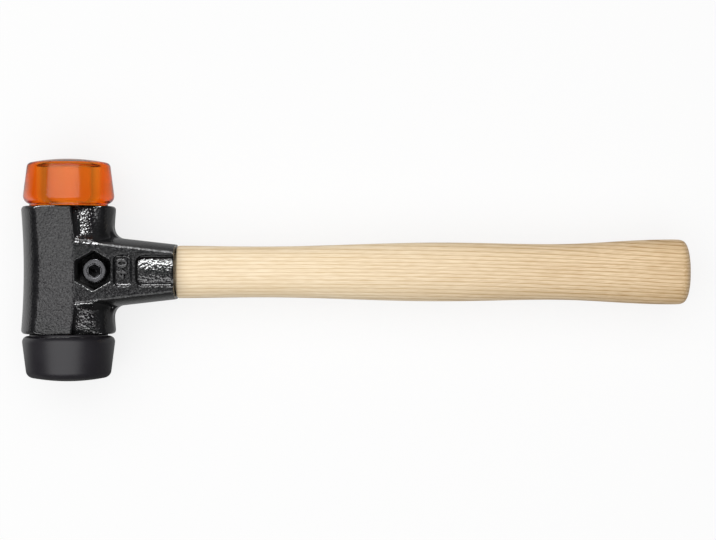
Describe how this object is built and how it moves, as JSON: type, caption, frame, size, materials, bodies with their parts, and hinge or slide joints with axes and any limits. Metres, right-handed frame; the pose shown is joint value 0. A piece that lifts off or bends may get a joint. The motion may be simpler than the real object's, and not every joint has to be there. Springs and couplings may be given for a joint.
{
  "type": "soft face hammer",
  "caption": "Soft face hammer: black cast housing in two halves, clamped by a socket screw round exchangeable hard orange and soft black faces and a hickory handle.",
  "frame": {"origin": "On the flat side of the rear half of the housing, under the centre of the head", "axes": "+X along the handle to its butt, +Y along the head to the hard face, +Z along the clamp screw to the front half, up when the hammer lies on its side"},
  "size_m": [0.2954, 0.0982, 0.0408],
  "materials": {
    "cast_housing": "rough cast, painted black, satin",
    "hard_plastic": "moulded, translucent orange, glossy",
    "soft_rubber": "moulded, black, matt",
    "hickory": "turned, sanded and waxed",
    "black_steel": "black oxide"
  },
  "bodies": {
    "rear_half": {"rear_housing": "cast_housing", "clamp_nut": "black_steel", "handle": "hickory", "hard_face": "hard_plastic", "soft_face": "soft_rubber"},
    "front_half": {"front_housing": "cast_housing", "lock_washer": "black_steel"},
    "screw": {"clamp_screw": "black_steel"}
  },
  "joints": [
    {"name": "front_half_lift", "type": "slide", "parent": "rear_half", "child": "front_half", "axis": [0, 0, 1], "range_m": [0, 0.006]},
    {"name": "screw_turn", "type": "hinge", "parent": "front_half", "child": "screw", "pos_m": [0.0127, -0.0003, 0.027], "axis": [0, 0, 1], "range_deg": [0, 2160]}
  ],
  "couplings": [
    {"joint": "screw_turn", "follows": "front_half_lift", "rad_per_m": 6283.2}
  ]
}
